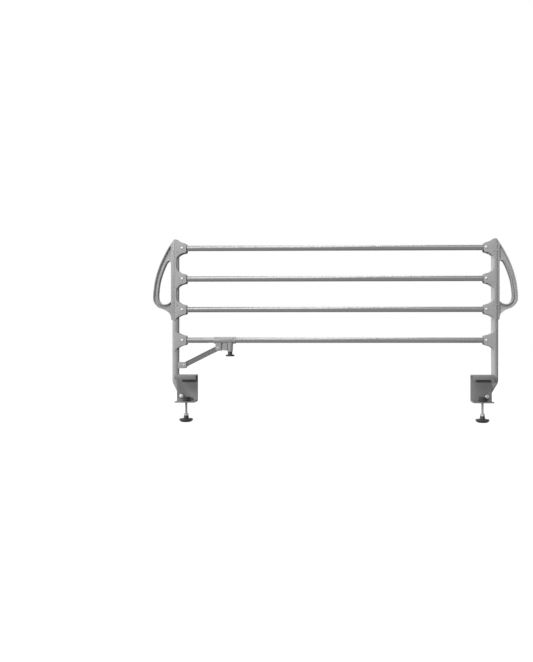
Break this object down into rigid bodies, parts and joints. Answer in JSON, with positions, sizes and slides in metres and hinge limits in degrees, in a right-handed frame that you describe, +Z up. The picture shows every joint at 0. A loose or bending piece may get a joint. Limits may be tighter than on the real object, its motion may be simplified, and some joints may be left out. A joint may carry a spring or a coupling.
{
  "type": "folding bed guard rail",
  "caption": "Folding bed guard rail: parallel tubes between two posts with D handles, clamp brackets for the bed frame and a locking brace.",
  "frame": {"origin": "middle of the underside of the left clamp's hook, where the rail hangs on the bed frame, on the axis of the clamp screw", "axes": "+X along the rail from the left post to the right, +Y away from the bed frame that the hooks reach over, +Z up"},
  "size_m": [1.4544, 0.092, 0.724],
  "materials": {
    "casting": "grey cast finish with a fine grain",
    "post": "satin grey",
    "tube": "bright polished",
    "bracket": "satin dark grey",
    "steel": "bright zinc",
    "brace": "satin dark grey",
    "slider": "grey cast finish",
    "black_plastic": "glossy black",
    "dark_plastic": "matt dark grey",
    "rubber": "matt black"
  },
  "bodies": {
    "clamps": {"left_clamp_bracket": "bracket", "left_pivot_bolt": "steel", "left_pivot_washer": "steel", "left_pivot_spacer": "dark_plastic", "left_pivot_lock_nut": "steel", "right_clamp_bracket": "bracket", "right_pivot_bolt": "steel", "right_pivot_washer": "steel", "right_pivot_spacer": "dark_plastic", "right_pivot_lock_nut": "steel"},
    "left_post": {"left_post_tube": "post", "left_handle": "casting", "left_upper_lugs": "casting", "left_lower_lug": "casting", "left_lugs_top_rivet": "steel", "left_handle_top_rivet": "steel", "left_lugs_low_rivet": "steel", "left_handle_low_rivet": "steel", "left_lower_lug_rivet": "steel", "left_bottom_tube_pin": "steel", "left_lower_tube_pin": "steel", "left_upper_tube_pin": "steel", "left_top_tube_pin": "steel", "brace_clevis": "casting", "brace_foot_pin": "steel"},
    "right_post": {"right_post_tube": "post", "right_handle": "casting", "right_upper_lugs": "casting", "right_lower_lug": "casting", "right_lugs_top_rivet": "steel", "right_handle_top_rivet": "steel", "right_lugs_low_rivet": "steel", "right_handle_low_rivet": "steel", "right_lower_lug_rivet": "steel", "right_bottom_tube_pin": "steel", "right_lower_tube_pin": "steel", "right_upper_tube_pin": "steel", "right_top_tube_pin": "steel"},
    "bottom_rail": {"bottom_rail_tube": "tube"},
    "lower_rail": {"lower_rail_tube": "tube"},
    "upper_rail": {"upper_rail_tube": "tube"},
    "top_rail": {"top_rail_tube": "tube"},
    "slider": {"slider_body": "slider", "slider_collar": "dark_plastic", "plunger_retainer": "dark_plastic", "brace_eye_stud_front": "steel", "brace_eye_stud_rear": "steel", "plunger_spring": "steel"},
    "brace": {"brace_arm": "brace"},
    "plunger": {"lock_pin": "steel", "pull_knob": "black_plastic"},
    "left_pad": {"left_clamp_pad": "rubber"},
    "left_screw": {"left_clamp_screw": "steel", "left_knob_nut": "steel", "left_clamp_knob": "black_plastic"},
    "right_pad": {"right_clamp_pad": "rubber"},
    "right_screw": {"right_clamp_screw": "steel", "right_knob_nut": "steel", "right_clamp_knob": "black_plastic"}
  },
  "joints": [
    {"name": "fold", "type": "hinge", "parent": "clamps", "child": "left_post", "pos_m": [-0.0225, 0.041, -0.0825], "axis": [0, 1, 0], "range_deg": [0, 78]},
    {"name": "right_post_fold", "type": "hinge", "parent": "clamps", "child": "right_post", "pos_m": [1.188, 0.041, -0.0825], "axis": [0, 1, 0], "range_deg": [0, 78]},
    {"name": "bottom_tube_level", "type": "hinge", "parent": "left_post", "child": "bottom_rail", "pos_m": [-0.0225, 0.041, 0.14], "axis": [0, 1, 0], "range_deg": [-78, 0]},
    {"name": "lower_tube_level", "type": "hinge", "parent": "left_post", "child": "lower_rail", "pos_m": [-0.0225, 0.041, 0.263], "axis": [0, 1, 0], "range_deg": [-78, 0]},
    {"name": "upper_tube_level", "type": "hinge", "parent": "left_post", "child": "upper_rail", "pos_m": [-0.0225, 0.041, 0.386], "axis": [0, 1, 0], "range_deg": [-78, 0]},
    {"name": "top_tube_level", "type": "hinge", "parent": "left_post", "child": "top_rail", "pos_m": [-0.0225, 0.041, 0.509], "axis": [0, 1, 0], "range_deg": [-78, 0]},
    {"name": "slider_slide", "type": "slide", "parent": "bottom_rail", "child": "slider", "axis": [1, 0, 0], "range_m": [-0.0856, 0]},
    {"name": "brace_foot", "type": "hinge", "parent": "left_post", "child": "brace", "pos_m": [-0.0175, 0.041, 0.04], "axis": [0, 1, 0], "range_deg": [-49.4, 0]},
    {"name": "lock_pull", "type": "slide", "parent": "slider", "child": "plunger", "axis": [0, 0, -1], "range_m": [0, 0.0075], "stiffness_N_per_m": 900, "springref_m": -0.008, "deforming": ["plunger_spring"]},
    {"name": "left_pad_lift", "type": "slide", "parent": "clamps", "child": "left_pad", "axis": [0, 0, 1], "range_m": [0, 0.039]},
    {"name": "left_screw_turn", "type": "hinge", "parent": "left_pad", "child": "left_screw", "pos_m": [0, 0, -0.13], "axis": [0, 0, 1], "range_deg": [0, 9360]},
    {"name": "right_pad_lift", "type": "slide", "parent": "clamps", "child": "right_pad", "axis": [0, 0, 1], "range_m": [0, 0.039]},
    {"name": "right_screw_turn", "type": "hinge", "parent": "right_pad", "child": "right_screw", "pos_m": [1.1655, 0, -0.13], "axis": [0, 0, 1], "range_deg": [0, 9360]}
  ],
  "couplings": [
    {"joint": "right_post_fold", "follows": "fold", "ratio": 1},
    {"joint": "bottom_tube_level", "follows": "fold", "ratio": -1},
    {"joint": "lower_tube_level", "follows": "fold", "ratio": -1},
    {"joint": "upper_tube_level", "follows": "fold", "ratio": -1},
    {"joint": "top_tube_level", "follows": "fold", "ratio": -1},
    {"joint": "slider_slide", "follows": "fold", "m_per_rad": -0.06283},
    {"joint": "brace_foot", "follows": "fold", "ratio": -0.6332},
    {"joint": "left_screw_turn", "follows": "left_pad_lift", "rad_per_m": 4188.8},
    {"joint": "right_screw_turn", "follows": "right_pad_lift", "rad_per_m": 4188.8}
  ]
}
